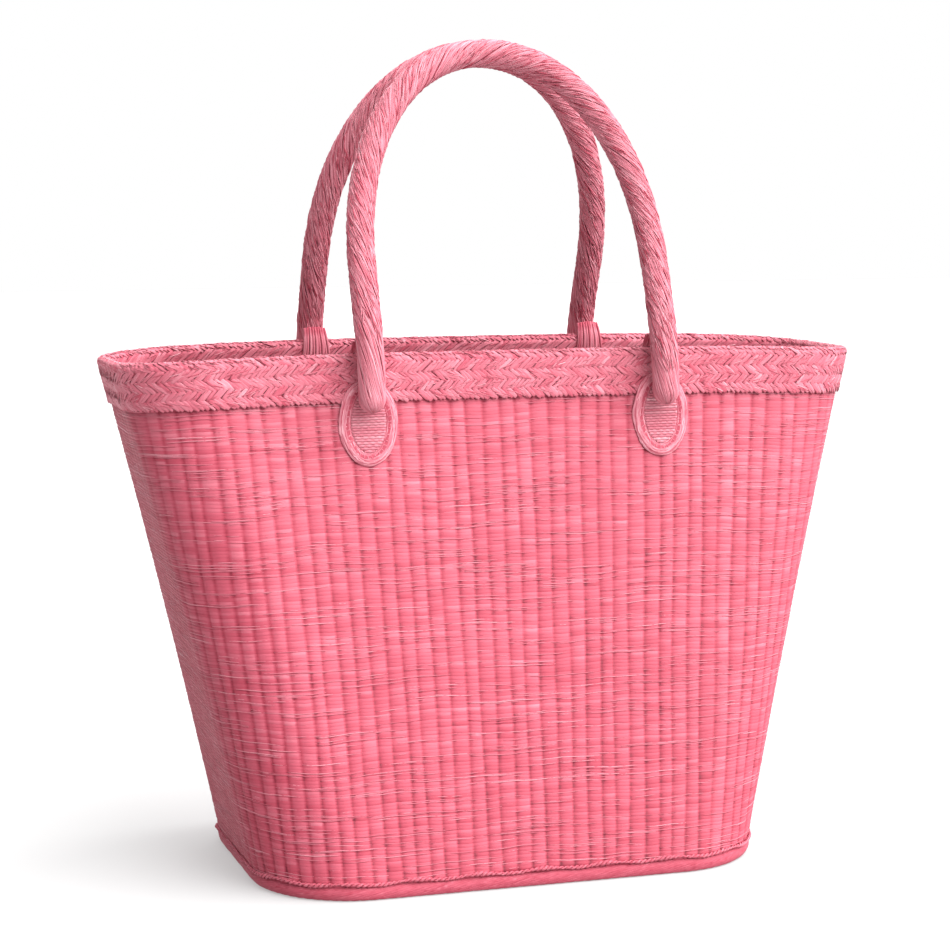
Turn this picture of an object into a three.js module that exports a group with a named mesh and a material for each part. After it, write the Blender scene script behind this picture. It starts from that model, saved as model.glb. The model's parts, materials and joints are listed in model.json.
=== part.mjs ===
// A woven straw beach bag: a shell with a plaited rim, and two rope handles that tip outwards.
// Millimetres, +Z up. X runs along the mouth, the front is -Y, the origin is the middle of the underside.

import * as THREE from 'three';
import { mergeVertices } from 'three/addons/utils/BufferGeometryUtils.js';

// ---- Driving sizes ----

// The shell: a rounded rectangle at the base, a longer and narrower one with oval corners at the mouth.
const bagHeight = 312;
const baseLength = 309;
const baseDepth = 204;
const baseCorner = 60;
const mouthLength = 460;
const mouthDepth = 118;
const mouthCornerLength = 50;
const mouthCornerDepth = 38;
const mouthBow = 3;          // how far the long sides bow out at their middle
const mouthDroop = 5;        // how much lower the ends of the mouth are than its middle
const droopPower = 3.5;      // more keeps the droop nearer the ends
const wallCurve = 0.1;       // 0 is a straight wall, more makes it flare later
const leastStraight = 4;     // what a corner always leaves of the side it rounds
const wallThickness = 3.5;

// The base.
const weltWidth = 7;
const weltHeight = 8.5;
const weltStand = 1.5;       // how far the welt stands out from the wall
const weltFlattening = 0.7;  // what standing presses off the welt's underside
const panelThickness = 3.5;
const seamCordRadius = 1;

// The rim.
const bindingThickness = 1.3;
const bindingDrop = 27;      // height of the binding outside
const bindingInnerDrop = 22; // height of the binding inside
const rimCordRadius = 1.7;

// The handles.
const handleSpacing = 180;   // between the two legs' middles
const handleRise = 174;      // from the mouth to the rope's middle at the top
const handleLeg = 46;        // straight part of each leg above its flex line
const handleFullness = 0.58; // Bezier share of the arch's shoulders, 0.55 is an ellipse
const ropeRadius = 8;
const coreRadius = 4;
const flexHeight = 6;        // the flex line is this far above the mouth
const ropeEndDrop = 33;      // the rope's tip is this far below the mouth

// The patches and tabs that hold the handles.
const patchWidth = 34.5;
const patchHeight = 49.5;
const patchDrop = 39.5;      // from the mouth down to the patch's middle
const patchThickness = 1.6;
const borderWidth = 7.5;
const borderThickness = 2.2;
const borderShoulder = 0.7;  // thickness of the border's edges, as a share of its middle's
const patchBlend = 12;       // height over which a patch steps up on to the binding
const patchLead = 4;         // the step is done this far below the binding
const tabWidth = 16;
const tabThickness = 3.2;
const tabDrop = 58;          // from the mouth down to the tab's lower end
const tabRise = 5.5;         // from the mouth up to the tab's upper end
const tabShoulder = 0.72;    // how far across the rim the tab's top bend is

// Clearances.
const gap = 0.3;             // between pieces that are sewn or bound together
const handleGap = 0.6;       // between the two handles where they meet
const flexGap = 0.8;         // between a handle's end and the fixed rope end below it

// Fineness of the facets.
const cornerSteps = 6;
const sideSteps = 12;
const endSteps = 3;
const wallSteps = 5;
const archSteps = 36;
const weltFacets = 10;
const cordFacets = 6;
const foldFacets = 4;
const patchFacets = 24;
const rodFacets = 12;
const rodEndFacets = 3;
const tabSteps = 14;
const tabFacets = 5;
const wrapFacets = 5;
const coreFacets = 4;

// ---- The shell's surface ----

// An anticlockwise outline whose points match from one outline to the next.
function planOutline(length, depth, cornerLength, cornerDepth, bow) {
  const halfLength = length / 2;
  const halfDepth = depth / 2;
  const radiusX = Math.min(cornerLength, halfLength - leastStraight);
  const radiusY = Math.min(cornerDepth, halfDepth - leastStraight);
  const arcs = [[1, 1], [-1, 1], [-1, -1], [1, -1]].map(([alongX, alongY], quarter) => {
    const turn = quarter * Math.PI / 2;
    const centreX = alongX * (halfLength - radiusX);
    const centreY = alongY * (halfDepth - radiusY);
    return new THREE.EllipseCurve(centreX, centreY, radiusX, radiusY, turn, turn + Math.PI / 2)
      .getPoints(cornerSteps);
  });
  const points = arcs.flatMap((arc, quarter) => {
    const next = arcs[(quarter + 1) % 4][0];
    const straight = new THREE.LineCurve(arc[cornerSteps], next);
    const steps = quarter % 2 === 0 ? sideSteps : endSteps;
    return [...arc, ...straight.getPoints(steps).slice(1, -1)];
  });
  for (const point of points) {
    point.y += bow * (1 - (point.x / halfLength) ** 2) * point.y / halfDepth;
  }
  return points;
}

const baseOutline = planOutline(baseLength, baseDepth, baseCorner, baseCorner, 0);
const mouthOutline = planOutline(mouthLength, mouthDepth, mouthCornerLength, mouthCornerDepth, mouthBow);
const columns = baseOutline.length;
const onAxis = -Infinity;

// A point on the wall's outer face. `up` is its height at the middle of the bag's length.
function wallPoint(column, up) {
  const height = up / bagHeight;
  const share = height - wallCurve * height * (1 - height);
  const foot = baseOutline[column];
  const top = mouthOutline[column];
  const droop = mouthDroop * Math.abs(top.x / (mouthLength / 2)) ** droopPower;
  return new THREE.Vector3(
    THREE.MathUtils.lerp(foot.x, top.x, share),
    THREE.MathUtils.lerp(foot.y, top.y, share),
    up * (1 - droop / bagHeight),
  );
}

// The wall's outward direction, kept level.
function wallNormal(column, up) {
  const before = wallPoint((column + columns - 1) % columns, up);
  const after = wallPoint((column + 1) % columns, up);
  return new THREE.Vector3(after.y - before.y, before.x - after.x, 0).normalize();
}

// How far the wall's outer face is from the bag's middle plane at one x and height.
function wallFace(x, up) {
  for (let column = 0; column < columns; column++) {
    const here = wallPoint(column, up);
    const next = wallPoint((column + 1) % columns, up);
    if (here.y > 0 && next.y > 0 && here.x >= x && next.x < x) {
      return THREE.MathUtils.lerp(here.y, next.y, (here.x - x) / (here.x - next.x));
    }
  }
  throw new Error('x is outside the wall');
}

function closed(geometry) {
  geometry.deleteAttribute('uv');
  geometry.deleteAttribute('normal');
  const merged = mergeVertices(geometry);
  merged.computeVertexNormals();
  return merged;
}

// A lathe pressed to the bag's plan. Each profile point is (out from the wall, up), or on the bag's axis.
function latheRoundBag(profile) {
  const lathe = new THREE.LatheGeometry(profile, columns);
  const place = lathe.attributes.position;
  for (let i = 0; i < place.count; i++) {
    const column = Math.floor(i / profile.length) % columns;
    const { x: out, y: up } = profile[i % profile.length];
    const point = out === onAxis
      ? new THREE.Vector3(0, 0, up)
      : wallPoint(column, up).addScaledVector(wallNormal(column, up), out);
    place.setXYZ(i, point.x, point.y, point.z);
  }
  return closed(lathe);
}

// A ring that follows the wall, from an anticlockwise profile.
function ringRoundBag(profile) {
  return latheRoundBag([...profile, profile[0]]);
}

function arcPoints(x, y, radiusX, radiusY, from, to, steps) {
  return new THREE.EllipseCurve(x, y, radiusX, radiusY, from, to, to < from).getPoints(steps);
}

// ---- Shell, base and rim ----

const weltInside = weltStand - weltWidth;
const bindingStand = gap + bindingThickness;
const foldRadius = wallThickness / 2 + gap;
const foldUp = bagHeight - foldRadius - bindingThickness;
const wallFoot = weltHeight + gap;
const wallTop = foldUp - rimCordRadius - gap;

function wovenWall() {
  const profile = [];
  for (let step = 0; step <= wallSteps; step++) {
    profile.push(new THREE.Vector2(0, THREE.MathUtils.lerp(wallFoot, wallTop, step / wallSteps)));
  }
  for (let step = wallSteps; step >= 0; step--) {
    profile.push(new THREE.Vector2(-wallThickness, profile[step].y));
  }
  return ringRoundBag(profile);
}

function basePanel() {
  const edge = weltInside - gap;
  return latheRoundBag([
    new THREE.Vector2(onAxis, 0),
    new THREE.Vector2(edge, 0),
    new THREE.Vector2(edge, panelThickness),
    new THREE.Vector2(onAxis, panelThickness),
  ]);
}

// A rolled cord, pressed flat where it stands.
function baseWelt() {
  const middle = weltStand - weltWidth / 2;
  const halfHeight = (weltHeight + weltFlattening) / 2;
  const up = halfHeight - weltFlattening;
  const round = arcPoints(middle, up, weltWidth / 2, halfHeight, 0, 2 * Math.PI, weltFacets);
  return ringRoundBag(round.slice(0, -1).map(({ x, y }) => new THREE.Vector2(x, Math.max(0, y))));
}

function roundCord(out, up, radius) {
  return ringRoundBag(arcPoints(out, up, radius, radius, 0, 2 * Math.PI, cordFacets).slice(0, -1));
}

function baseSeamCord() {
  return roundCord(gap + seamCordRadius, weltHeight + gap + seamCordRadius, seamCordRadius);
}

function rimCord() {
  return roundCord(-wallThickness / 2, foldUp, rimCordRadius);
}

// A flat plait folded over the wall's top edge.
function rimBinding() {
  const middle = -wallThickness / 2;
  const outerRadius = foldRadius + bindingThickness;
  return ringRoundBag([
    new THREE.Vector2(bindingStand, bagHeight - bindingDrop),
    ...arcPoints(middle, foldUp, outerRadius, outerRadius, 0, Math.PI, foldFacets + 2),
    new THREE.Vector2(middle - outerRadius, bagHeight - bindingInnerDrop),
    new THREE.Vector2(middle - foldRadius, bagHeight - bindingInnerDrop),
    ...arcPoints(middle, foldUp, foldRadius, foldRadius, Math.PI, 0, foldFacets),
    new THREE.Vector2(gap, bagHeight - bindingDrop),
  ]);
}

// ---- Handle fixings ----

// A flat round lathe of (radius, out) points, made oval and laid on the wall, where it steps up on to
// the binding.
function layOnWall(profile, x, side) {
  const points = profile.map(([radius, out]) => new THREE.Vector2(radius, out));
  const lathe = new THREE.LatheGeometry(points, patchFacets);
  const stepTop = bagHeight - bindingDrop - patchLead;
  const stretch = (patchHeight - patchWidth) / 2;
  const place = lathe.attributes.position;
  for (let i = 0; i < place.count; i++) {
    const radius = Math.hypot(place.getX(i), place.getZ(i));
    const turn = Math.floor(i / profile.length) / patchFacets * 2 * Math.PI;
    const across = x + side * radius * Math.sin(turn);
    const up = bagHeight - patchDrop + (radius + stretch) * Math.cos(turn);
    const stand = bindingStand * THREE.MathUtils.smoothstep(up, stepTop - patchBlend, stepTop);
    place.setXYZ(i, across, side * (wallFace(across, up) + stand + gap + place.getY(i)), up);
  }
  return closed(lathe);
}

function patch(x, side) {
  const edge = patchWidth / 2 - borderWidth - gap;
  const profile = [[0, 0], [edge / 2, 0], [edge, 0], [edge, patchThickness], [edge / 2, patchThickness],
    [0, patchThickness]];
  return layOnWall(profile, x, side);
}

function patchBorder(x, side) {
  const outer = patchWidth / 2;
  const middle = outer - borderWidth / 2;
  const inner = outer - borderWidth;
  const shoulder = borderThickness * borderShoulder;
  const profile = [[inner, 0], [outer, 0], [outer, shoulder], [middle, borderThickness], [inner, shoulder],
    [inner, 0]];
  return layOnWall(profile, x, side);
}

// The rope's middle is this far out from the wall, clear of the patch's border on the binding.
const ropeStand = bindingStand + gap + borderThickness + gap + ropeRadius;

// A point in the plane across the wall at one handle end.
function endPoint(x, side, out, up) {
  return new THREE.Vector3(x, side * (wallFace(x, up) + out), up);
}

// The rope's fixed end: a rod with round ends, along the wall from its tip to just below the flex line.
function ropeEnd(x, side) {
  const tip = endPoint(x, side, ropeStand, bagHeight - ropeEndDrop);
  const flex = endPoint(x, side, ropeStand, bagHeight + flexHeight);
  const length = tip.distanceTo(flex) - ropeRadius - flexGap;
  const profile = [
    ...arcPoints(0, ropeRadius, ropeRadius, ropeRadius, -Math.PI / 2, 0, rodEndFacets),
    ...arcPoints(0, length - ropeRadius, ropeRadius, ropeRadius, 0, Math.PI / 2, rodEndFacets),
  ];
  profile[0].x = 0;
  profile[profile.length - 1].x = 0;
  const rod = new THREE.LatheGeometry(profile, rodFacets);
  const along = flex.clone().sub(tip).normalize();
  rod.applyQuaternion(new THREE.Quaternion().setFromUnitVectors(new THREE.Vector3(0, 1, 0), along));
  rod.translate(tip.x, tip.y, tip.z);
  return closed(rod);
}

// A strap that starts on the rope's inner side, crosses the rim and runs down inside the wall.
function innerTab(x, side) {
  const inside = -wallThickness - bindingStand - gap - tabThickness / 2;
  const overRim = inside / 2 + ropeStand / 2 - ropeRadius / 2 - gap;
  const route = [
    endPoint(x, side, overRim, bagHeight + tabRise),
    endPoint(x, side, inside * tabShoulder, bagHeight + tabThickness / 2),
    endPoint(x, side, inside - gap, bagHeight - bindingThickness - tabThickness),
    endPoint(x, side, inside, bagHeight - bindingInnerDrop),
    endPoint(x, side, inside, bagHeight - tabDrop),
  ];
  const half = tabWidth / 2;
  const section = new THREE.Shape();
  section.absellipse(0, 0, half, tabThickness / 2, 0, 2 * Math.PI);
  return closed(new THREE.ExtrudeGeometry(section, {
    steps: tabSteps, curveSegments: tabFacets, bevelEnabled: false,
    extrudePath: new THREE.CatmullRomCurve3(route),
  }));
}

// ---- Handles ----

const flexOut = wallFace(handleSpacing / 2, bagHeight + flexHeight) + ropeStand;
const topOut = ropeRadius + handleGap / 2;
const lean = Math.atan2(flexOut - topOut, handleRise - flexHeight);
const archHeight = (handleRise - flexHeight) / Math.cos(lean);

// The arch's middle line, upright in the XZ plane, from one flex point to the other.
function archLine() {
  const half = handleSpacing / 2;
  const shoulder = archHeight - handleLeg;
  const at = (x, z) => new THREE.Vector3(x, 0, z);
  const path = new THREE.CurvePath();
  path.add(new THREE.LineCurve3(at(-half, 0), at(-half, handleLeg)));
  path.add(new THREE.CubicBezierCurve3(at(-half, handleLeg), at(-half, handleLeg + handleFullness * shoulder),
    at(-half * handleFullness, archHeight), at(0, archHeight)));
  path.add(new THREE.CubicBezierCurve3(at(0, archHeight), at(half * handleFullness, archHeight),
    at(half, handleLeg + handleFullness * shoulder), at(half, handleLeg)));
  path.add(new THREE.LineCurve3(at(half, handleLeg), at(half, 0)));
  return path;
}

function circlePath(Kind, radius) {
  return new Kind().absarc(0, 0, radius, 0, 2 * Math.PI);
}

function alongArch(shape, curveSegments) {
  return closed(new THREE.ExtrudeGeometry(shape, {
    steps: archSteps, curveSegments, bevelEnabled: false, extrudePath: archLine(),
  }));
}

function handleWrap() {
  const ring = circlePath(THREE.Shape, ropeRadius);
  ring.holes.push(circlePath(THREE.Path, coreRadius + gap));
  return alongArch(ring, wrapFacets);
}

function handleCore() {
  return alongArch(circlePath(THREE.Shape, coreRadius), coreFacets);
}

// ---- Assembly ----

const straw = (color, roughness) => new THREE.MeshStandardMaterial({ color, roughness, metalness: 0 });

function piece(name, geometry, material) {
  const mesh = new THREE.Mesh(geometry, material);
  mesh.name = name;
  return mesh;
}

const bag = new THREE.Group();
bag.add(
  piece('woven_wall', wovenWall(), straw('#ec7489', 0.55)),
  piece('base_panel', basePanel(), straw('#e06c81', 0.6)),
  piece('base_welt', baseWelt(), straw('#e26f84', 0.6)),
  piece('base_seam_cord', baseSeamCord(), straw('#ea8092', 0.6)),
  piece('rim_binding', rimBinding(), straw('#ef7c90', 0.5)),
  piece('rim_cord', rimCord(), straw('#d8c49a', 0.8)),
);

for (const [sideName, side] of [['front', -1], ['back', 1]]) {
  for (const [endName, end] of [['left', -1], ['right', 1]]) {
    const name = `${sideName}_${endName}`;
    const x = end * handleSpacing / 2;
    bag.add(
      piece(`${name}_patch`, patch(x, side), straw('#f08397', 0.55)),
      piece(`${name}_patch_border`, patchBorder(x, side), straw('#ee7b8f', 0.55)),
      piece(`${name}_rope_end`, ropeEnd(x, side), straw('#e77388', 0.55)),
      piece(`${name}_inner_tab`, innerTab(x, side), straw('#e87a8e', 0.6)),
    );
  }
  const handle = new THREE.Group();
  handle.position.set(0, side * flexOut, bagHeight + flexHeight);
  handle.rotation.x = side * lean;
  handle.add(
    piece(`${sideName}_handle_wrap`, handleWrap(), straw('#e87388', 0.55)),
    piece(`${sideName}_handle_core`, handleCore(), straw('#d8c49a', 0.8)),
  );
  bag.add(handle);
}

export default bag;
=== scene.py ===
import json
import math

import bpy
import numpy as np
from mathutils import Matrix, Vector


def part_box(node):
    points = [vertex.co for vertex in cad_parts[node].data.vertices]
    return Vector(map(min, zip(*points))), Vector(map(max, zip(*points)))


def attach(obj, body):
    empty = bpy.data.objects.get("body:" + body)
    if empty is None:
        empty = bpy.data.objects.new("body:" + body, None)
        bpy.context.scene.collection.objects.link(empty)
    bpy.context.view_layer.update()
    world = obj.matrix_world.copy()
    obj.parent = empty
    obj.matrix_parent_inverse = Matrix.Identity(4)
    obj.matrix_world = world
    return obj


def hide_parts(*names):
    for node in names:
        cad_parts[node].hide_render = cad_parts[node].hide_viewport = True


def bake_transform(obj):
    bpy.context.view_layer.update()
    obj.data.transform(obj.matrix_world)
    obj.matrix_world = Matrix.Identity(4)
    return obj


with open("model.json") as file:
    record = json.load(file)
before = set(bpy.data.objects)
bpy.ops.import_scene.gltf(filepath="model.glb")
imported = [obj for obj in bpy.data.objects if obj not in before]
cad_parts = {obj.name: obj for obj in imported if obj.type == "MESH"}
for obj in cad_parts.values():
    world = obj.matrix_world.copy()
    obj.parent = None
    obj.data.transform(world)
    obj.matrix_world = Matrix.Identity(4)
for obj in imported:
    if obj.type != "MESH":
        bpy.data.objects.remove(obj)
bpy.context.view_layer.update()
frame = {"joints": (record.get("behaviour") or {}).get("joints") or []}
random = np.random.default_rng(7)


# ---- Studio ----
# A pale table in a white room that is dimmer on the left, a broad lamp high on the right and a
# weaker one behind. The camera stands a little above the bag's middle and looks at its front and
# its left end.

camera_azimuth = -17.6
camera_elevation = 7.0
camera_distance = 1.538
camera_aim = Vector((0, 0, 0.2308))
camera_lens = 95.1
camera_shift = -0.007
lamp_breadth = 75
room_dim = 0.5
room_dim_until = -0.6
room_bright_from = 0.05
table_size = 14
table_grey = (0.28, 0.28, 0.28, 1)
table_glow = 0.38


def towards(azimuth, elevation):
    """The direction out to a place round the bag, in degrees right of its front and above level."""
    azimuth, elevation = math.radians(azimuth), math.radians(elevation)
    return Vector((
        math.sin(azimuth) * math.cos(elevation),
        -math.cos(azimuth) * math.cos(elevation),
        math.sin(elevation),
    ))


towards_camera = towards(camera_azimuth, camera_elevation)
camera = bpy.data.objects.new("camera", bpy.data.cameras.new("camera"))
camera.data.sensor_width = 36
camera.data.lens = camera_lens
camera.data.shift_x = camera_shift
camera.location = camera_aim + towards_camera * camera_distance
camera.rotation_euler = (-towards_camera).to_track_quat("-Z", "Y").to_euler()
bpy.context.scene.collection.objects.link(camera)
bpy.context.scene.camera = camera

for name, azimuth, elevation, strength in (("lamp", 52, 49, 7.8), ("back_lamp", 172, 45, 2.2)):
    lamp = bpy.data.objects.new(name, bpy.data.lights.new(name, "SUN"))
    lamp.data.energy = strength
    lamp.data.angle = math.radians(lamp_breadth)
    lamp.rotation_euler = (-towards(azimuth, elevation)).to_track_quat("-Z", "Y").to_euler()
    bpy.context.scene.collection.objects.link(lamp)

room = bpy.data.worlds.new("room")
room.use_nodes = True
room_nodes, room_links = room.node_tree.nodes, room.node_tree.links
room_nodes["Background"].inputs["Color"].default_value = (1, 1, 1, 1)
room_place = room_nodes.new("ShaderNodeTexCoord")
room_axes = room_nodes.new("ShaderNodeSeparateXYZ")
room_fall = room_nodes.new("ShaderNodeMapRange")
room_fall.inputs["From Min"].default_value = room_dim_until
room_fall.inputs["From Max"].default_value = room_bright_from
room_fall.inputs["To Min"].default_value = room_dim
room_fall.inputs["To Max"].default_value = 1.0
room_links.new(room_place.outputs["Generated"], room_axes.inputs[0])
room_links.new(room_axes.outputs["X"], room_fall.inputs["Value"])
room_links.new(room_fall.outputs["Result"], room_nodes["Background"].inputs["Strength"])
bpy.context.scene.world = room
bpy.context.scene.view_settings.view_transform = "Standard"

bpy.ops.object.select_all(action="DESELECT")
bpy.ops.mesh.primitive_plane_add(size=table_size, location=(0, 0, 0))
table = bpy.context.object
table.name = "table"
table_paint = bpy.data.materials.new("table_paint")
table_paint.use_nodes = True
table_shader = table_paint.node_tree.nodes["Principled BSDF"]
table_shader.inputs["Base Color"].default_value = table_grey
table_shader.inputs["Roughness"].default_value = 0.9
table_shader.inputs["Specular IOR Level"].default_value = 0.1
table_shader.inputs["Emission Color"].default_value = (1, 1, 1, 1)
table_shader.inputs["Emission Strength"].default_value = table_glow
table.data.materials.append(table_paint)


# ---- Base mat and welt ----
# A stiff mat of flat straws woven over and under each other. A thick roll of straw is bound round
# its edge, where the wall starts, and a rough twisted cord is sewn along the top of the roll.

bag_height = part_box("rim_binding")[1].z
base_length = 0.309
base_depth = 0.204
base_corner = (0.060, 0.060)
mouth_length = 0.460
mouth_depth = 0.118
mouth_corner = (0.050, 0.038)
mouth_bow = 0.003
mouth_droop = 0.005
droop_power = 3.5
wall_curve = 0.1
wall_thickness = 0.0035
level_count = 63                # the wall's outline is kept at this many heights,
way_count = 1600                # and at this many places round each
plan_turns, plan_front, plan_end = 24, 40, 20


def rounded_plan(length, depth, corner, bow):
    """Points anticlockwise from the middle of the front, which match from one plan to another."""
    half_length, half_depth = length / 2, depth / 2
    middle_x, middle_y = half_length - corner[0], half_depth - corner[1]
    turns = np.linspace(0, math.pi / 2, plan_turns, endpoint=False)
    front = np.linspace(0, middle_x, plan_front, endpoint=False)
    end = np.linspace(-middle_y, middle_y, plan_end, endpoint=False)
    x = np.concatenate([
        front, middle_x + corner[0] * np.sin(turns), np.full(len(end), half_length),
        middle_x + corner[0] * np.cos(turns), middle_x - front,
    ])
    y = np.concatenate([
        np.full(len(front), -half_depth), -middle_y - corner[1] * np.cos(turns), end,
        middle_y + corner[1] * np.sin(turns), np.full(len(front), half_depth),
    ])
    x, y = np.concatenate([x, -x]), np.concatenate([y, -y])
    return np.stack([x, y + bow * (1 - (x / half_length) ** 2) * y / half_depth], 1)


def wall_share(up):
    """How far the wall's plan has gone from the base's to the mouth's at a height."""
    height = up / bag_height
    return height - wall_curve * height * (1 - height)


base_plan = rounded_plan(base_length, base_depth, base_corner, 0)
mouth_plan = rounded_plan(mouth_length, mouth_depth, mouth_corner, mouth_bow)
plan_droop = mouth_droop * np.abs(mouth_plan[:, 0] / (mouth_length / 2)) ** droop_power
wall_table = np.zeros((level_count, way_count, 6))
for level, up in enumerate(np.linspace(0, bag_height, level_count)):
    plan = base_plan + (mouth_plan - base_plan) * wall_share(up)
    points = np.column_stack([plan, up * (1 - plan_droop / bag_height)])
    points = np.concatenate([points, points[:1]])
    stride = np.linalg.norm(np.diff(points[:, :2], axis=0), axis=1)
    way = np.concatenate([[0], np.cumsum(stride)])
    even = np.linspace(0, way[-1], way_count, endpoint=False)
    ring = np.stack([np.interp(even, way, points[:, axis]) for axis in range(3)], 1)
    ahead = np.roll(ring, -6, 0) - np.roll(ring, 6, 0)
    outward = np.stack([ahead[:, 1], -ahead[:, 0], np.zeros(way_count)], 1)
    outward /= np.linalg.norm(outward, axis=1, keepdims=True)
    wall_table[level] = np.concatenate([ring, outward], 1)


def on_wall(way, up):
    """Points on the wall's outer face, and its level outward directions. `way` is the share of the
    way round from the middle of the front, anticlockwise from above."""
    way, up = np.broadcast_arrays(way, up)
    column = (way % 1.0) * way_count
    left = np.floor(column).astype(int)
    right_share = (column - left)[..., None]
    row = np.clip(up / bag_height, 0, 1) * (level_count - 1)
    low = np.minimum(np.floor(row).astype(int), level_count - 2)
    high_share = (row - low)[..., None]
    left, right = left % way_count, (left + 1) % way_count
    lower = wall_table[low, left] * (1 - right_share) + wall_table[low, right] * right_share
    upper = wall_table[low + 1, left] * (1 - right_share) + wall_table[low + 1, right] * right_share
    found = lower * (1 - high_share) + upper * high_share
    return found[..., :3], found[..., 3:]


class Straws:
    """Straws gathered into one mesh. Each vertex has a tone, which is how pale its dye is, with painted
    light and shade added in places, and a grain vector, which runs along the straw."""

    def __init__(self):
        self.points, self.tones, self.grains, self.quads = [], [], [], []
        self.count = 0
        self.straws = 0

    def add(self, points, along, around, tone, loop):
        """Closed skins over points of shape (straws, steps, corners, 3)."""
        straws, steps, corners = points.shape[:3]
        number = np.arange(self.straws, self.straws + straws)[:, None, None]
        shape = (straws, steps, corners)
        grain = np.stack([np.broadcast_to(a, shape) for a in (along, around, number)], -1)
        index = self.count + np.arange(straws * steps * corners).reshape(shape)
        here = index if loop else index[:, :-1]
        there = np.roll(index, -1, 1) if loop else index[:, 1:]
        sides = np.stack([here, np.roll(here, -1, 2), np.roll(there, -1, 2), there], -1)
        self.quads.append(sides.reshape(-1, 4))
        if not loop:
            for k in range(1, corners - 2, 2):
                self.quads.append(index[:, 0, [0, k + 2, k + 1, k]])
                self.quads.append(index[:, -1, [0, k, k + 1, k + 2]])
        self.points.append(points.reshape(-1, 3))
        self.tones.append(np.broadcast_to(tone, shape).reshape(-1))
        self.grains.append(grain.reshape(-1, 3))
        self.count += straws * steps * corners
        self.straws += straws

    def lay(self, lines, out, section, tone, loop=False):
        """Straws along lines of shape (straws, steps, 3). The section's corners are (across, out)
        offsets, anticlockwise, which may change along the straw."""
        ahead = np.roll(lines, -1, 1) - np.roll(lines, 1, 1)
        if not loop:
            ahead[:, 0] = lines[:, 1] - lines[:, 0]
            ahead[:, -1] = lines[:, -1] - lines[:, -2]
        ahead /= np.linalg.norm(ahead, axis=-1, keepdims=True)
        across = np.cross(np.broadcast_to(out, lines.shape), ahead)
        across /= np.linalg.norm(across, axis=-1, keepdims=True)
        out = np.cross(ahead, across)
        section = np.broadcast_to(section, (*lines.shape[:2], *np.shape(section)[-2:]))
        sideways, lifted = across[:, :, None] * section[..., :1], out[:, :, None] * section[..., 1:]
        stride = np.linalg.norm(np.diff(lines, axis=1), axis=-1)
        along = np.concatenate([np.zeros((len(lines), 1)), np.cumsum(stride, 1)], 1)[:, :, None]
        edge = np.linalg.norm(np.diff(section[0, lines.shape[1] // 2], axis=0), axis=-1)
        around = np.concatenate([[0], np.cumsum(edge)])
        self.add(lines[:, :, None] + sideways + lifted, along, around, tone, loop)

    def make(self, name, material):
        mesh = bpy.data.meshes.new(name)
        mesh.from_pydata(np.concatenate(self.points).tolist(), [], np.concatenate(self.quads).tolist())
        mesh.shade_smooth()
        tones = mesh.attributes.new("tone", "FLOAT", "POINT")
        tones.data.foreach_set("value", np.concatenate(self.tones).astype(np.float32))
        grains = mesh.attributes.new("grain", "FLOAT_VECTOR", "POINT")
        grains.data.foreach_set("vector", np.concatenate(self.grains).astype(np.float32).ravel())
        mesh.materials.append(material)
        made = bpy.data.objects.new(name, mesh)
        bpy.context.scene.collection.objects.link(made)
        return made


def section_of(corners, half_width, half_thickness):
    """A straw's section. Its sizes may change along the straw."""
    half_width, half_thickness = np.broadcast_arrays(half_width, half_thickness)
    return np.stack([np.stack([half_width * a, half_thickness * b], -1) for a, b in corners], -2)


def flat_section(half_width, half_thickness):
    """A flat straw's section, with its corners rounded off."""
    corners = [(0.55, 0.85), (-0.55, 0.85), (-1, 0), (-0.55, -0.85), (0.55, -0.85), (1, 0)]
    return section_of(corners, half_width, half_thickness)


def thin_section(half_width, half_thickness):
    """A fine straw's section."""
    return section_of([(0, 1), (-1, 0), (0, -1), (1, 0)], half_width, half_thickness)


class Socket:
    """A node's output, with which a material's sums are written as expressions."""

    def __init__(self, tree, output=None):
        self.tree = tree
        self.output = output

    def node(self, kind, settings, values, output=0):
        made = self.tree.nodes.new(kind)
        for name, setting in settings.items():
            if name == "stops":
                ramp = made.color_ramp.elements
                while len(ramp) < len(setting):
                    ramp.new(0.5)
                for stop, (place, colour) in zip(ramp, setting):
                    stop.position = place
                    stop.color = (*colour, 1)
            else:
                setattr(made, name, setting)
        for name, value in values.items():
            if isinstance(value, Socket):
                self.tree.links.new(value.output, made.inputs[name])
            else:
                made.inputs[name].default_value = value
        return Socket(self.tree, made.outputs[output])

    def math(self, operation, first, second):
        return self.node("ShaderNodeMath", {"operation": operation}, {0: first, 1: second})

    def __add__(self, other):
        return self.math("ADD", self, other)

    def __sub__(self, other):
        return self.math("SUBTRACT", self, other)

    def __rsub__(self, other):
        return self.math("SUBTRACT", other, self)

    def __mul__(self, other):
        return self.math("MULTIPLY", self, other)

    __radd__ = __add__
    __rmul__ = __mul__


# The dye, from the darkest tone, which is painted shade in the gaps between straws, to the palest
# straws.
dye_and_shade_stops = [
    (0.0, (0.11, 0.008, 0.018)),
    (0.3, (0.35, 0.042, 0.070)),
    (0.5, (0.43, 0.077, 0.114)),
    (0.72, (0.53, 0.160, 0.205)),
    (1.0, (0.74, 0.38, 0.43)),
]
fibre_scale = (170, 2600, 7.3)  # along a straw, round it, and from straw to straw
blotch_scale = (45, 300, 3.1)
blotch_share = 0.4
fibre_bump = 0.7
fibre_rough = 0.3
straw_specular = 0.2
straw_sheen = 0.03


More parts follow.
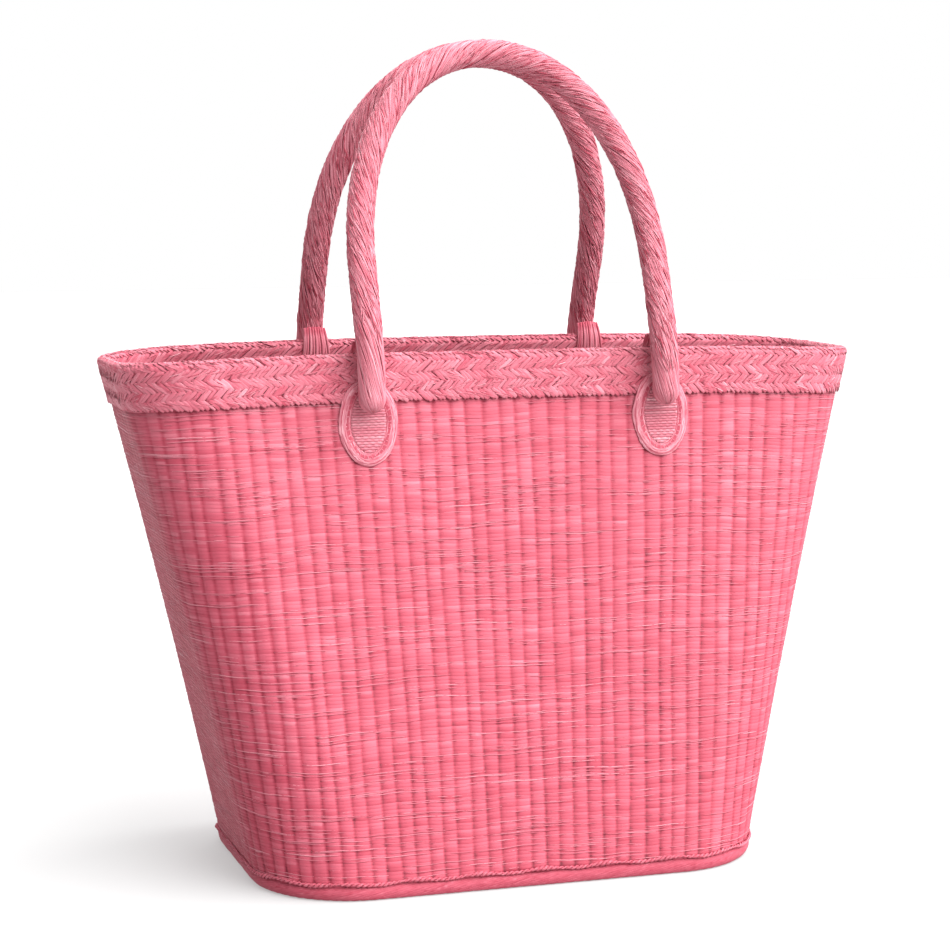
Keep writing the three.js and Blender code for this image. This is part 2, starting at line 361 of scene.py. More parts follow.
def dyed_straw(name, contrast, relief, roughness):
    """Pink straw with fibres along its grain."""
    made = bpy.data.materials.new(name)
    made.use_nodes = True
    tree = made.node_tree
    shader = tree.nodes["Principled BSDF"]
    pen = Socket(tree)
    grain = pen.node("ShaderNodeAttribute", {"attribute_name": "grain"}, {}, "Vector")
    tone = pen.node("ShaderNodeAttribute", {"attribute_name": "tone"}, {}, "Fac")
    fine = pen.node("ShaderNodeVectorMath", {"operation": "MULTIPLY"}, {0: grain, 1: fibre_scale})
    fibres = pen.node("ShaderNodeTexNoise", {}, {"Vector": fine, "Scale": 1.0, "Detail": 2.0}, "Fac")
    broad = pen.node("ShaderNodeVectorMath", {"operation": "MULTIPLY"}, {0: grain, 1: blotch_scale})
    blotches = pen.node("ShaderNodeTexNoise", {}, {"Vector": broad, "Scale": 1.0, "Detail": 1.0}, "Fac")
    depth = tone + (fibres - 0.5) * contrast + (blotches - 0.5) * (contrast * blotch_share)
    colour = pen.node("ShaderNodeValToRGB", {"stops": dye_and_shade_stops}, {"Fac": depth}, "Color")
    rough = roughness + (fibres - 0.5) * fibre_rough
    bump_values = {"Strength": fibre_bump, "Distance": relief, "Height": fibres}
    bump = pen.node("ShaderNodeBump", {}, bump_values, "Normal")
    tree.links.new(colour.output, shader.inputs["Base Color"])
    tree.links.new(rough.output, shader.inputs["Roughness"])
    tree.links.new(bump.output, shader.inputs["Normal"])
    shader.inputs["Specular IOR Level"].default_value = straw_specular
    shader.inputs["Sheen Weight"].default_value = straw_sheen
    shader.inputs["Sheen Roughness"].default_value = 0.4
    shader.inputs["Sheen Tint"].default_value = (1.0, 0.75, 0.8, 1)
    return made


def jitter(spread, *shape):
    """Small chance differences."""
    return random.normal(0, spread, shape)


def half_chord(place, half_long, half_wide, corner):
    """Half the length of a rounded rectangle across one place on its other side."""
    past = np.clip(np.abs(place) - (half_wide - corner), 0, corner)
    return half_long - corner + np.sqrt(corner ** 2 - past ** 2)


mat_straw = dyed_straw("mat_straw", 0.25, 0.0002, 0.6)
mat_low, mat_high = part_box("base_panel")
mat_corner = 0.054
mat_pitch = 0.0068
mat_wave = 0.0007
mat_straw_half_width = 0.0036
mat_straw_half_thickness = 0.0009
mat_middle = (mat_low.z + mat_high.z) / 2
mat = Straws()
for axis in (0, 1):
    half_long, half_wide = mat_high[axis], mat_high[1 - axis]
    count = int(2 * half_wide / mat_pitch)
    places = (np.arange(count) - (count - 1) / 2) * mat_pitch
    for number, place in enumerate(places):
        reach = half_chord(place, half_long, half_wide, mat_corner) - 0.0005
        steps = 4 * int(reach / mat_pitch) + 3
        run = np.linspace(-reach, reach, steps)
        wave = np.cos(math.pi * (run / mat_pitch + number + axis))
        line = np.zeros((1, steps, 3))
        line[0, :, axis] = run
        line[0, :, 1 - axis] = place + jitter(0.00015, steps)
        line[0, :, 2] = mat_middle + mat_wave * wave
        # The straws are paler where they pass over and darker where they dip under: painted light and
        # shade.
        tone = 0.42 + jitter(0.06) + 0.05 * wave
        straw = thin_section(mat_straw_half_width, mat_straw_half_thickness)
        mat.lay(line, (0, 0, 1), straw, tone[None, :, None])
base_mat = mat.make("base_mat", mat_straw)
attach(base_mat, "basket")
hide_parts("base_panel")

welt_straw = dyed_straw("welt_straw", 0.25, 0.00025, 0.6)
welt_top = 0.0085
welt_out = 0.0015
welt_half_width = 0.0035
welt_straws = 18
welt_turns = 9
welt_core_depth = 0.0008
welt_lowest = 0.0009
steps = 460
way = np.arange(steps) / steps
turn = 2 * math.pi * (np.arange(welt_straws)[:, None] / welt_straws + welt_turns * way)
lift = np.sin(turn) * (welt_top / 2 - 0.0004) + welt_top / 2
face, outward = on_wall(way[None], np.maximum(lift, 0))
swell = 1 + 0.04 * np.sin(2 * math.pi * 31 * way) + 0.03 * np.sin(2 * math.pi * 57 * way + 1)
depth = welt_out - welt_half_width + (welt_half_width - 0.0006) * np.cos(turn) * swell
lines = face + outward * depth[..., None]
lines[..., 2] = np.maximum(lift, welt_lowest)
away = outward * np.cos(turn)[..., None] + np.array([0, 0, 1]) * np.sin(turn)[..., None]
welt = Straws()
core_turn = 2 * math.pi * np.arange(12) / 12
core_out = welt_out - welt_half_width + (welt_half_width - welt_core_depth) * np.cos(core_turn)
core_up = welt_top / 2 - (welt_top / 2 - welt_core_depth) * np.sin(core_turn)
face, outward = on_wall(way[:, None], core_up[None])
core = face + outward * core_out[:, None]
# The core's dark tone is painted shade in the gaps between the roll's straws.
welt.add(core[None], way[None, :, None], core_turn * 0.003, 0.25, True)
tones = 0.43 + jitter(0.05, welt_straws, steps, 1)
welt.lay(lines, away, flat_section(0.0011, 0.0006), tones, loop=True)
base_welt = welt.make("base_welt_roll", welt_straw)
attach(base_welt, "basket")
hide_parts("base_welt")

seam_straw = dyed_straw("seam_straw", 0.3, 0.0002, 0.65)
seam_low, seam_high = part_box("base_seam_cord")
seam_up = (seam_low.z + seam_high.z) / 2
seam_stitches = 150
seam_out = 0.0009
ply_radius = 0.0006
ply_half_width = 0.0007
steps = seam_stitches * 8
way = np.arange(steps) / steps
seam = Straws()
for ply in range(2):
    turn = 2 * math.pi * (seam_stitches * way + ply / 2)
    swell = 1 + 0.35 * np.sin(2 * math.pi * 37 * way) * np.sin(2 * math.pi * 11 * way + 1)
    rise = 0.0006 * np.sin(2 * math.pi * 23 * way + 0.5) + jitter(0.00012, steps)
    face, outward = on_wall(way, seam_up + rise)
    line = face + outward * (seam_out + ply_radius * np.cos(turn) * swell)[:, None]
    line[:, 2] += ply_radius * np.sin(turn) * swell
    # Each ply is paler on its outer side and darker where it turns in to the wall: painted light and
    # shade.
    tone = 0.5 + 0.1 * np.cos(turn) + jitter(0.05, steps)
    ply_section = thin_section(ply_half_width * swell, ply_half_width * swell)
    seam.lay(line[None], outward[None], ply_section, tone[None, :, None], loop=True)
base_seam = seam.make("base_seam", seam_straw)
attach(base_seam, "basket")
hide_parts("base_seam_cord")


# ---- Woven wall ----
# The shell is woven from fine dyed straws that lie level, packed close, over upright ribs. Pale
# straws float across a few ribs at a time; their paleness is partly their own and partly painted
# highlight. It is one bent sheet with no side seam.

rib_count = 106
rib_stations = np.array([0, 0.2, 0.5, 0.8])    # gap, shoulder, crown and shoulder
rib_profile = np.array([-1.0, 0.35, 0.75, 0.35])
rib_relief = 0.00052
row_count = 146
row_half_height = 0.0024
row_overhang = 0.14             # each row's upper edge stands out over the next row's lower edge
row_crease = 0.00005
row_sunk = 0.0002
slope_reach = 0.003
fade_from, fade_over, fade_by = 0.62, 0.25, 0.6
band_count = 6
float_count = 480               # pale straws in each band
float_half_width = 0.00026
float_half_thickness = 0.00012
wall_low, wall_high = (corner.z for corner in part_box("woven_wall"))
row_pitch = (wall_high - wall_low) / row_count

stations = rib_count * len(rib_stations)
ribs = np.arange(stations) // len(rib_stations)
phase = np.arange(stations) % len(rib_stations)
row_up = wall_low + (np.arange(row_count)[:, None] + 0.5) * row_pitch
rib_sway = 0.05 * np.sin(2 * math.pi * (row_up / 0.16 + random.random(rib_count)))
rib_start = np.arange(rib_count) + jitter(0.05, rib_count) + rib_sway
rib_next = np.roll(rib_start, -1, 1)
rib_next[:, -1] += rib_count
row_way = rib_start[:, ribs] + (rib_next - rib_start)[:, ribs] * rib_stations[phase]
row_way /= rib_count

# The ribs are plain on the front and back, and fade round the ends.
from_side = np.abs((row_way * 2 + 0.5) % 1.0 - 0.5) * 2
fading = np.clip((from_side - fade_from) / fade_over, 0, 1)
relief = rib_relief * (1 - fade_by * fading)


def waver(way, up):
    """How far a row strays up or down, alike in neighbouring rows."""
    turn = 2 * math.pi * way
    broad = 0.00045 * np.sin(5 * turn + 21 * up + 1.0) + 0.0004 * np.sin(9 * turn - 34 * up + 2.4)
    return broad + 0.00022 * np.sin(17 * turn + 70 * up) + 0.00015 * np.sin(41 * turn - 150 * up + 0.7)


row_z = row_up + jitter(0.00008, row_count, 1) + waver(row_way, row_up)
row_z = np.clip(row_z + jitter(0.00005, row_count, stations), wall_low + 0.0006, wall_high)
row_depth = relief * rib_profile[phase] - row_sunk + jitter(0.00003, row_count, 1)
row_depth += jitter(0.00003, row_count, stations)

# The tone is darkened in the gaps between ribs as painted shade, more in a quarter of them, and
# lifted a little on the crowns and shoulders as painted highlight. It rises towards the rim as painted
# light, and the dye differs at random from row to row and rib to rib.
rib_tone = jitter(0.045, row_count, rib_count) + jitter(0.02, 1, rib_count)
deep_shade_gaps = random.random((row_count, rib_count)) < 0.25
gap_painted_shade = (-0.19 - 0.05 * deep_shade_gaps)[:, ribs] * (1 - 0.5 * fading)
# The rise with height is painted light: the upper wall is paler as if more brightly lit.
row_tone = 0.39 + 0.12 * row_up / bag_height + jitter(0.03, row_count, 1) + rib_tone[:, ribs]
row_tone += np.where(phase == 0, gap_painted_shade, np.where(phase == 2, 0.02, 0.01))

weave_straw = dyed_straw("weave_straw", 0.2, 0.00005, 0.55)
for band in range(band_count):
    rows = slice(band * row_count // band_count, (band + 1) * row_count // band_count)
    weave = Straws()
    face, outward = on_wall(row_way[rows], row_z[rows])
    above = on_wall(row_way[rows], row_z[rows] + slope_reach)[0]
    climb = above - on_wall(row_way[rows], row_z[rows] - slope_reach)[0]
    climb /= np.linalg.norm(climb, axis=-1, keepdims=True)
    shingle_out = outward - climb * ((outward * climb).sum(-1, keepdims=True) + row_overhang)
    lines = face + outward * row_depth[rows][..., None]
    inner = 0.0003 - wall_thickness - relief[rows] * rib_profile[phase] - row_depth[rows]
    section = np.stack([
        np.stack(np.broadcast_arrays(across, out), -1) for across, out in (
            (0, 0 * inner), (-row_half_height, 0 * inner - row_crease),
            (-row_half_height, inner + row_crease), (0, inner),
            (row_half_height, inner + row_crease), (row_half_height, 0 * inner - row_crease),
        )
    ], 2)
    weave.lay(lines, shingle_out, section, row_tone[rows][..., None], loop=True)

    # Pale straws that float over a few ribs. Their paleness is partly their own and partly painted
    # highlight, and they darken towards their tucked ends as painted shade.
    spans = random.integers(1, 6, float_count)
    first_rib = random.integers(0, rib_count, float_count)
    float_up = random.uniform(row_up[rows].min(), row_up[rows].max(), float_count)
    slopes = jitter(0.009, float_count)
    for span, rib, up, slope in zip(spans, first_rib, float_up, slopes):
        steps = 3 * span + 1
        travel = np.linspace(0, span, steps)
        share = np.linspace(-1, 1, steps)
        way = (rib + travel) / rib_count
        rise = share * span * mouth_length / rib_count * slope
        point, away = on_wall(way, up + rise + waver(way, up))
        lift = 0.00024 - 0.00012 * np.cos(2 * math.pi * travel)
        lift[[0, -1]] = -rib_relief
        half_width = float_half_width * (1 - 0.5 * share ** 4)
        tone = 0.68 + jitter(0.07) - 0.12 * share ** 2
        line = point + away * lift[:, None]
        straw = thin_section(half_width, float_half_thickness)
        weave.lay(line[None], away[None], straw, tone[None, :, None])
    woven = weave.make(f"woven_band_{band + 1}", weave_straw)
    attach(woven, "basket")
    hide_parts("woven_wall")


# ---- Rim binding ----
# A flat plait of split straws, folded over the wall's top edge round a stiff cord and sewn down.
# Its rows slant by turns to the left and to the right, and each tucks its ends under the next.

rim_straw = dyed_straw("rim_straw", 0.36, 0.0002, 0.5)
rim_low = 0.285
rim_inner_low = 0.290
rim_middle = -wall_thickness / 2
rim_radius = 0.00335
rim_fold = bag_height - rim_radius
rim_rows = [0, 0.0047, 0.0098, 0.0155, 0.0215, 0.0345, 0.0435]
rim_outside = rim_fold - rim_low
rim_over = math.pi * rim_radius
rim_round = rim_outside + rim_over + rim_fold - rim_inner_low
rim_outer_rows = 5              # the rows that show from outside
rim_straw_count = 370
rim_straw_half_width = 0.0014
rim_straw_half_thickness = 0.00019
rim_straw_steps = 6
rim_tone = 0.63
rim_slant = math.tan(math.radians(34))
rim_tuck_low = 0.0006
rim_tuck_high = 0.0008
rim_perimeter = 1.12
loose_straws = 380              # in each row
loose_steps = 4
loose_half_width = 0.00024
loose_half_thickness = 0.00012
lining_steps = 380
lining_depth = 0.0005
lining_thickness = 0.0010


def on_rim(way, across):
    """Points on the binding and its outward directions. `across` runs from its outer edge over the
    fold to its inner edge."""
    way, across = np.broadcast_arrays(way, across)
    bend = np.clip((across - rim_outside) / rim_over, 0, 1) * math.pi
    past_fold = np.maximum(across - rim_outside - rim_over, 0)
    below = np.where(across < rim_outside, rim_outside - across, past_fold)
    face, outward = on_wall(way, rim_fold - below)
    away = outward * np.cos(bend)[..., None] + np.array([0, 0, 1]) * np.sin(bend)[..., None]
    point = face + outward * (rim_middle + rim_radius * np.cos(bend))[..., None]
    point[..., 2] += rim_radius * np.sin(bend)
    return point, away


def plait(straws, low, high, run):
    """A row of slanting flat straws between two lines of the binding, each tucked in at both ends."""
    count = rim_straw_count
    share = np.linspace(0, 1, rim_straw_steps)
    bulge = np.sin(math.pi * share)
    start = (np.arange(count) + jitter(0.12, count))[:, None] / count
    reach = (run * (1 + jitter(0.11, count)))[:, None]
    edge = jitter(0.00025, count)[:, None]
    way = start + reach * (share - 0.5)
    across = low + edge + (high - low) * share
    point, away = on_rim(way, across)
    lift = rim_straw_half_thickness * (-1.1 + 1.5 * bulge ** 0.5 + 0.5 * share * (1 - share) ** 0.5)
    lift = lift + jitter(rim_straw_half_thickness * 0.22, count, 1)
    width = rim_straw_half_width * (0.72 + 0.28 * bulge) * (1 + jitter(0.15, count))[:, None]
    # Each straw is darker towards its tucked ends: painted shade.
    shade = rim_tone + jitter(0.06, count, 1) - 0.04 * (1 - bulge ** 0.6)
    straw = flat_section(width, rim_straw_half_thickness)
    straws.lay(point + away * lift[..., None], away, straw, shade[..., None])


# The plait lies on a lining, which closes the gaps between its straws. The lining's darker tone is
# painted shade in those gaps.
lining = Straws()
way = np.arange(lining_steps)[:, None] / lining_steps
across = np.concatenate([
    np.linspace(0.0004, rim_outside, 4),
    rim_outside + rim_over * np.array([0.17, 0.33, 0.5, 0.67, 0.83]),
    np.linspace(rim_outside + rim_over, rim_round - 0.0004, 4),
])
outer_skin, away = on_rim(way, across[None])
outer_skin = outer_skin - away * lining_depth
inner_skin = outer_skin - away * lining_thickness
ring = np.concatenate([inner_skin, outer_skin[:, ::-1]], 1)
lining.add(ring[None], way[None] * 1.1, np.arange(ring.shape[1]) * 0.002, 0.46, True)
for number, low in enumerate(rim_rows):
    high = (rim_rows + [rim_round])[number + 1]
    run = (high - low) / rim_slant / rim_perimeter * (1 if number % 2 else -1)
    plait(lining, low - rim_tuck_low, min(high + rim_tuck_high, rim_round + rim_tuck_low), run)

    # Fine straws that have worked loose and lie across the row.
    share = np.linspace(-1, 1, loose_steps)
    slant_way = np.sign(run) * random.uniform(0.002, 0.006, (loose_straws, 1)) / rim_perimeter
    across = random.uniform(low + 0.0012, high - 0.0008, (loose_straws, 1)) + 0.0013 * share
    point, away = on_rim(random.random((loose_straws, 1)) + slant_way * share, across)
    lift = 0.0004 - 0.0004 * share ** 2
    shade = 0.6 + jitter(0.11, loose_straws, 1, 1)
    straw = thin_section(loose_half_width, loose_half_thickness)
    lining.lay(point + away * lift[:, None], away, straw, shade)
    if number == rim_outer_rows - 1:
        rim_outer = lining.make("rim_plait_outer", rim_straw)
        lining = Straws()
rim_inner = lining.make("rim_plait_inner", rim_straw)
for made in (rim_outer, rim_inner):
    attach(made, "basket")
    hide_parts("rim_binding", "rim_cord")


# ---- Handle patches ----
# Four oval patches of fine woven straw, each inside a raised border of straws that run round it and
# are sewn down near its inner edge. A patch's upper half lies on the rim binding.

patch_straw = dyed_straw("patch_straw", 0.25, 0.00018, 0.5)
patch_low, patch_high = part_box("front_right_patch_border")
patch_x = (patch_low.x + patch_high.x) / 2
patch_up = (patch_low.z + patch_high.z) / 2
patch_half_width = (patch_high.x - patch_low.x) / 2
patch_stretch = (patch_high.z - patch_low.z) / 2 - patch_half_width
patch_border = 0.0075
patch_stand = 0.0003
binding_stand = 0.0016
step_low, step_high = 0.269, 0.281
border_seam = -0.28
border_lanes = [-0.92, -0.76, -0.6, -0.45, -0.1, 0.06, 0.22, 0.38, 0.54, 0.7, 0.84, 0.95]
border_stitches = 34
border_height = 0.0016
lane_half_width = 0.00052
lane_half_thickness = 0.0003
stitch_half_width = 0.00045
stitch_half_thickness = 0.0003
patch_tone = 0.74
patch_row_pitch = 0.00155
patch_row_half_height = 0.00095
patch_row_half_thickness = 0.0005
patch_wave_pitch = 0.0021
backing_overlap = 0.002


def wall_face(x, up):
    """How far the wall's outer face is from the bag's middle plane, on its long sides."""
    share = wall_share(up)
    base_side, mouth_side = base_length / 2 - base_corner[0], mouth_length / 2 - mouth_corner[0]
    along = x / (base_side + (mouth_side - base_side) * share) * mouth_side / (mouth_length / 2)
    mouth_y = mouth_depth / 2 + mouth_bow * (1 - along ** 2)
    return base_depth / 2 + (mouth_y - base_depth / 2) * share


def on_patch(side, x, across, up, lift):
    """Points over the wall where a patch lies. Its upper half steps out over the binding."""
    step = np.clip((up - step_low) / (step_high - step_low), 0, 1)
    stand = binding_stand * step * step * (3 - 2 * step) + patch_stand
    across, up, lift = np.broadcast_arrays(x + across, up, wall_face(x + across, up) + stand + lift)
    return np.stack([across, side * lift, up], -1)


def on_border(side, x, away, way, radius):
    """Points on a patch's raised border, and its outward directions."""
    turn = 2 * math.pi * way
    bulge = (radius - patch_half_width + patch_border / 2) / (patch_border / 2)
    height = border_height - 0.0011 * np.abs(bulge) ** 2.5
    height -= 0.0006 * np.exp(-((bulge - border_seam) / 0.16) ** 2) * 0.6
    up = patch_up + (radius + patch_stretch) * np.cos(turn)
    point = on_patch(side, x, side * radius * np.sin(turn), up, height)
    tip = np.stack([np.sin(turn), 0 * turn, np.cos(turn)], -1)
    return point, away + tip * (0.55 * bulge * np.abs(bulge))[..., None] * np.array([side, 1, 1])


for side_name, side in (("front", -1), ("back", 1)):
    for end_name, end in (("left", -1), ("right", 1)):
        name = f"{side_name}_{end_name}"
        x = end * patch_x
        away = np.array([0, side * 0.987, 0.16])
        patch = Straws()

        # The woven middle, on a backing whose dark tone is painted shade in the gaps between the rows.
        half_width = patch_half_width - patch_border
        half_height = half_width + patch_stretch
        place = np.linspace(-1, 1, 15)
        backing = on_patch(side, x, 0, patch_up + place * (half_height + backing_overlap), 0.0004)
        width = (half_width + backing_overlap) * np.sqrt(1 - 0.98 * place ** 2)
        patch.lay(backing[None], away, flat_section(width, 0.0005), 0.25)
        row_total = int(2 * half_height / patch_row_pitch)
        for row in range(row_total):
            down = (row + 0.5) / row_total * 2 - 1
            reach = (half_width + 0.0008) * math.sqrt(1 - down ** 2)
            run = np.linspace(-reach, reach, 15)
            wave = np.cos(math.pi * (run / patch_wave_pitch + row))
            line = on_patch(side, x, run, patch_up + down * half_height, 0.0011 + 0.00014 * wave)
            # The rows are paler where they pass over and darker where they dip under: painted light and
            # shade.
            tone = patch_tone + jitter(0.05) + 0.04 * wave
            straw = thin_section(patch_row_half_height, patch_row_half_thickness)
            patch.lay(line[None], away, straw, tone[None, :, None])

        # The border: a roll under fine straws that run round it, sewn down nearer its inner edge. The
        # roll's darker tone is painted shade in the gaps between the straws.
        turn = 2 * math.pi * np.arange(72) / 72
        corner = 2 * math.pi * np.arange(10) / 10
        middle = patch_half_width - patch_border / 2
        radius = middle + (patch_border / 2 - 0.0004) * np.cos(corner)
        height = 0.0009 - 0.0009 * np.sin(corner)
        roll = on_patch(
            side, x, side * radius * np.sin(turn)[:, None],
            patch_up + (radius + patch_stretch) * np.cos(turn)[:, None], height,
        )
        patch.add(roll[None], turn[None, :, None] * 0.02, corner * 0.001, 0.4, True)

        way = np.arange(90) / 90
        for lane in border_lanes:
            stray = 0.05 * np.sin(2 * math.pi * (6 * way + random.random())) + jitter(0.03, 90)
            point, tip = on_border(side, x, away, way, middle + (lane + stray) * patch_border / 2)
            tone = patch_tone + jitter(0.03) + np.repeat(jitter(0.06, 30), 3)
            straw = flat_section(lane_half_width, lane_half_thickness)
            patch.lay(point[None], tip[None], straw, tone[None, :, None], loop=True)
        for stitch in range(border_stitches):
            way = (stitch + 0.5 + 0.12 * np.linspace(-1, 1, 5)) / border_stitches + jitter(0.0015)
            radius = middle + (border_seam + np.linspace(-0.3, 0.3, 5)) * patch_border / 2
            point, tip = on_border(side, x, away, way, radius)
            point = point + tip * np.array([-0.0002, 0.0003, 0.00045, 0.0003, -0.0002])[:, None]
            thread = thin_section(stitch_half_width, stitch_half_thickness)
            patch.lay(point[None], tip[None], thread, 0.64 + jitter(0.08))
        made = patch.make(f"{name}_patch_woven", patch_straw)
        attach(made, "basket")
        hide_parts(f"{name}_patch", f"{name}_patch_border")


# ---- Inner tabs ----
# A flat bundle of straws starts on each rope's inner side just above the rim, crosses the rim and
# runs down inside the wall, so that a handle's end grips the rim from both sides.

tab_straw = dyed_straw("tab_straw", 0.3, 0.0002, 0.5)
tab_low, tab_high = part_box("front_right_inner_tab")
tab_straws = 13
tab_width = 0.0132
tab_foot_width = 0.0185
tab_route = np.array([
    (-0.0012, tab_high.z + 0.0008), (-0.0050, bag_height + 0.0016), (-0.0071, bag_height - 0.0045),
    (-0.0068, bag_height - 0.022), (-0.0068, tab_low.z),
])
tab_steps = 22
tab_straw_half_width = 0.00085
tab_straw_half_thickness = 0.0011
tab_stitch_up = 0.004
tab_stitch_pitch = 0.0035
tab_stitch_out = 0.0086

# The bundle's middle line, as how far out from the wall's face it is and how high.
travel = np.concatenate([[0], np.cumsum(np.linalg.norm(np.diff(tab_route, axis=0), axis=1))])
even = np.linspace(0, travel[-1], tab_steps)
out, up = (np.interp(even, travel, tab_route[:, k]) for k in (0, 1))
for _ in range(2):
    out[1:-1] = (out[:-2] + out[1:-1] * 2 + out[2:]) / 4
    up[1:-1] = (up[:-2] + up[1:-1] * 2 + up[2:]) / 4
inward = np.stack([np.gradient(up), -np.gradient(out)], 1)
inward /= np.linalg.norm(inward, axis=1, keepdims=True)
share = np.linspace(0, 1, tab_steps)
for side_name, side in (("front", -1), ("back", 1)):
    for end_name, end in (("left", -1), ("right", 1)):
        name = f"{side_name}_{end_name}"
        tab = Straws()
        for number in range(tab_straws):
            place = (number - (tab_straws - 1) / 2) / ((tab_straws - 1) / 2)
            spread = (tab_width + (tab_foot_width - tab_width) * np.minimum(share * 3, 1)) / 2
            x = end * patch_x + place * spread * 0.92 + 0.0004 * np.sin(7 * share + number * 2.1)
            lift = 0.0006 - 0.0014 * place ** 2 + jitter(0.00012)
            y = wall_face(end * patch_x, up) + out + inward[:, 0] * lift
            line = np.stack([x, side * y, up + inward[:, 1] * lift], 1)
            away = np.stack([0 * up, side * inward[:, 0], inward[:, 1]], 1)
            # The straws are darker where they start against the rope: painted shade.
            tone = 0.66 + jitter(0.07) - 0.2 * (share < 0.05)
            straw = flat_section(tab_straw_half_width, tab_straw_half_thickness)
            tab.lay(line[None], away[None], straw, tone[None, :, None])
        for stitch in range(2):
            stitch_up = tab_low.z + tab_stitch_up + tab_stitch_pitch * stitch
            run = np.linspace(-1, 1, 9)
            y = wall_face(end * patch_x, stitch_up) - tab_stitch_out + 0.0016 * run ** 4
            x = end * patch_x + run * tab_foot_width / 2
            line = np.stack([x, side * y, np.full(9, stitch_up)], 1)
            tab.lay(line[None], (0, -side, 0), thin_section(0.0006, 0.0005), 0.42)
        made = tab.make(f"{name}_tab_straws", tab_straw)
        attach(made, "basket")
        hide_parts(f"{name}_inner_tab")


# ---- Rope handles ----
# Each handle is one stiff cord wrapped in fine straws that wind steeply round it. Both ends run down
# outside the rim and finish in rounded tips on the patches. The rope bends at the joint's pivot, where
# it passes the rim.

rope_straw = dyed_straw("rope_straw", 0.22, 0.00012, 0.55)
rope_radius = 0.008
rope_straws = 84
rope_lay = 36.0                # radians of wrap to a metre of rope, at the tips
rope_lay_swell = 56.0          # how much more at the top
handle_leg = 0.046
handle_fullness = 0.58
rope_step = 0.0036
rope_body_depth = 0.0011
rope_straw_depth = 0.0006
rope_straw_half_width = 0.00056
rope_straw_half_thickness = 0.00045
rope_tone = 0.74
crossing_straws = 2000
crossing_tones = [0.78, 0.74, 0.7, 0.42]


def stray(places, gap, spread):
    """Chance differences along a rope, one in every gap, with even slopes between them."""
    knots = np.arange(0, 1, gap)
    return np.interp(places, knots, jitter(spread, len(knots)))


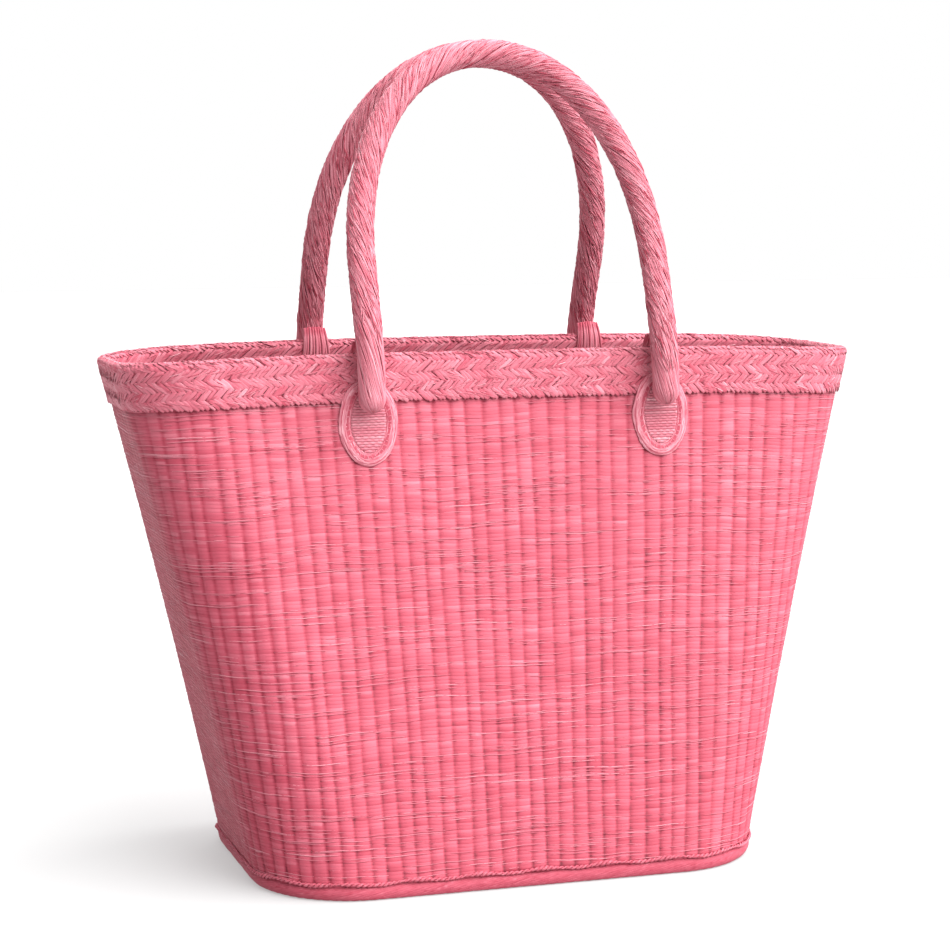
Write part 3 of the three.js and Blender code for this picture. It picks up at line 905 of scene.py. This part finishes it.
for joint in frame["joints"]:
    side_name = joint["child"].split("_")[0]
    side = -1 if side_name == "front" else 1
    pivot = np.array(joint["pos_m"])
    wrap_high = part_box(f"{side_name}_handle_wrap")[1]
    end_low, end_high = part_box(f"{side_name}_right_rope_end")
    half_spacing = (end_low.x + end_high.x) / 2
    top_out = rope_radius + 0.0003
    top_up = wrap_high.z - rope_radius
    rise = math.hypot(top_up - pivot[2], abs(pivot[1]) - top_out)
    lean = math.atan2(abs(pivot[1]) - top_out, top_up - pivot[2])
    shoulder = rise - handle_leg

    # One half of the rope's middle line, from its right tip to the top.
    inner_y, outer_y = sorted((abs(end_low.y), abs(end_high.y)))
    lower = np.array([half_spacing, outer_y - rope_radius, end_low.z + rope_radius])
    upper = np.array([half_spacing, inner_y + rope_radius, end_high.z - rope_radius * 0.3])
    down = (lower - upper) / np.linalg.norm(lower - upper)
    t = np.linspace(0, 1, 30)[:, None]
    arch = np.array([
        (half_spacing, handle_leg), (half_spacing, handle_leg + handle_fullness * shoulder),
        (half_spacing * handle_fullness, rise), (0, rise),
    ])
    bezier = (
        arch[0] * (1 - t) ** 3 + 3 * arch[1] * t * (1 - t) ** 2
        + 3 * arch[2] * t * t * (1 - t) + arch[3] * t ** 3
    )
    bezier = np.concatenate([[(half_spacing, 0.006), (half_spacing, 0.025)], bezier])
    arch_out = abs(pivot[1]) - math.sin(lean) * bezier[:, 1]
    arch_up = pivot[2] + math.cos(lean) * bezier[:, 1]
    arch_points = np.stack([bezier[:, 0], arch_out, arch_up], 1)
    leg = [lower + down * rope_radius, lower, (lower + upper) / 2, upper]
    half = np.concatenate([leg, arch_points])
    rope = np.concatenate([half, (half * np.array([-1, 1, 1]))[-2::-1]])
    rope[:, 1] *= side
    travel = np.concatenate([[0], np.cumsum(np.linalg.norm(np.diff(rope, axis=0), axis=1))])
    even = np.linspace(0, travel[-1], int(travel[-1] / rope_step))
    rope = np.stack([np.interp(even, travel, rope[:, axis]) for axis in range(3)], 1)
    for _ in range(3):
        rope[1:-1] = (rope[:-2] + 2 * rope[1:-1] + rope[2:]) / 4
    travel = np.concatenate([[0], np.cumsum(np.linalg.norm(np.diff(rope, axis=0), axis=1))])
    tip = rope_radius * (1 - np.cos(np.linspace(0, math.pi / 2, 6)))
    between = int((travel[-1] - 2 * rope_radius) / rope_step)
    even = np.concatenate([
        tip, np.linspace(rope_radius, travel[-1] - rope_radius, between)[1:-1], travel[-1] - tip[::-1],
    ])
    steps = len(even)
    middle = np.stack([np.interp(even, travel, rope[:, axis]) for axis in range(3)], 1)
    ahead = np.gradient(middle, axis=0)
    ahead /= np.linalg.norm(ahead, axis=1, keepdims=True)
    plane = np.array([0, math.cos(lean), side * math.sin(lean)])
    level = plane - ahead * (ahead @ plane)[:, None]
    level /= np.linalg.norm(level, axis=1, keepdims=True)
    square = np.cross(ahead, level)

    # The tips are round: the straws close in over the last radius of the rope.
    to_tip = np.minimum(even, even[-1] - even)
    close = np.sqrt(np.clip(1 - (1 - np.minimum(to_tip / rope_radius, 1)) ** 2, 0.004, 1))

    straws = Straws()
    # A darker body under the straws; its tone is painted shade in the gaps between them.
    corner = 2 * math.pi * np.arange(12) / 12
    skin = (rope_radius - rope_body_depth) * close[:, None, None]
    body = middle[:, None] + skin * (
        level[:, None] * np.cos(corner)[:, None] + square[:, None] * np.sin(corner)[:, None]
    )
    straws.add(body[None], even[None, :, None], corner * 0.004, 0.4, False)
    wander = np.stack([
        stray(even, 0.03, 0.06) + stray(even, 0.011, 0.05) for _ in range(rope_straws)
    ])
    bumps = np.stack([stray(even, 0.012, 0.00013) for _ in range(rope_straws)])
    share = even / even[-1]
    swell = share / 2 - np.sin(2 * math.pi * share) / (4 * math.pi)
    wind = rope_lay * even + rope_lay_swell * even[-1] * swell
    turn = 2 * math.pi * np.arange(rope_straws)[:, None] / rope_straws - wind + wander
    out = level * np.cos(turn)[..., None] + square * np.sin(turn)[..., None]
    radius = (rope_radius - rope_straw_depth + bumps) * close
    lines = middle + out * radius[..., None]
    tones = rope_tone + jitter(0.02, rope_straws, 1) + np.stack([
        stray(even, 0.014, 0.07) for _ in range(rope_straws)
    ])
    straw = thin_section(rope_straw_half_width * close, rope_straw_half_thickness)
    straws.lay(lines, out, straw, tones[..., None])

    # Short loose straws that lie across the wrap.
    for _ in range(crossing_straws):
        start = random.integers(8, steps - 16)
        length = random.integers(3, 5)
        here = slice(start, start + length)
        share = np.linspace(-1, 1, length)
        angle = random.uniform(0, 2 * math.pi) - wind[here] + jitter(22) * (even[here] - even[start])
        away = level[here] * np.cos(angle)[:, None] + square[here] * np.sin(angle)[:, None]
        lift = rope_radius + 0.00005 - 0.0005 * share ** 4
        line = middle[here] + away * lift[:, None]
        tone = random.choice(crossing_tones) + jitter(0.05)
        straws.lay(line[None], away[None], thin_section(0.00034 * (1.1 - share ** 2), 0.0003), tone)
    handle = straws.make(f"{side_name}_handle_rope", rope_straw)
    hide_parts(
        f"{side_name}_handle_wrap", f"{side_name}_handle_core",
        f"{side_name}_left_rope_end", f"{side_name}_right_rope_end",
    )
    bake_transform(handle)
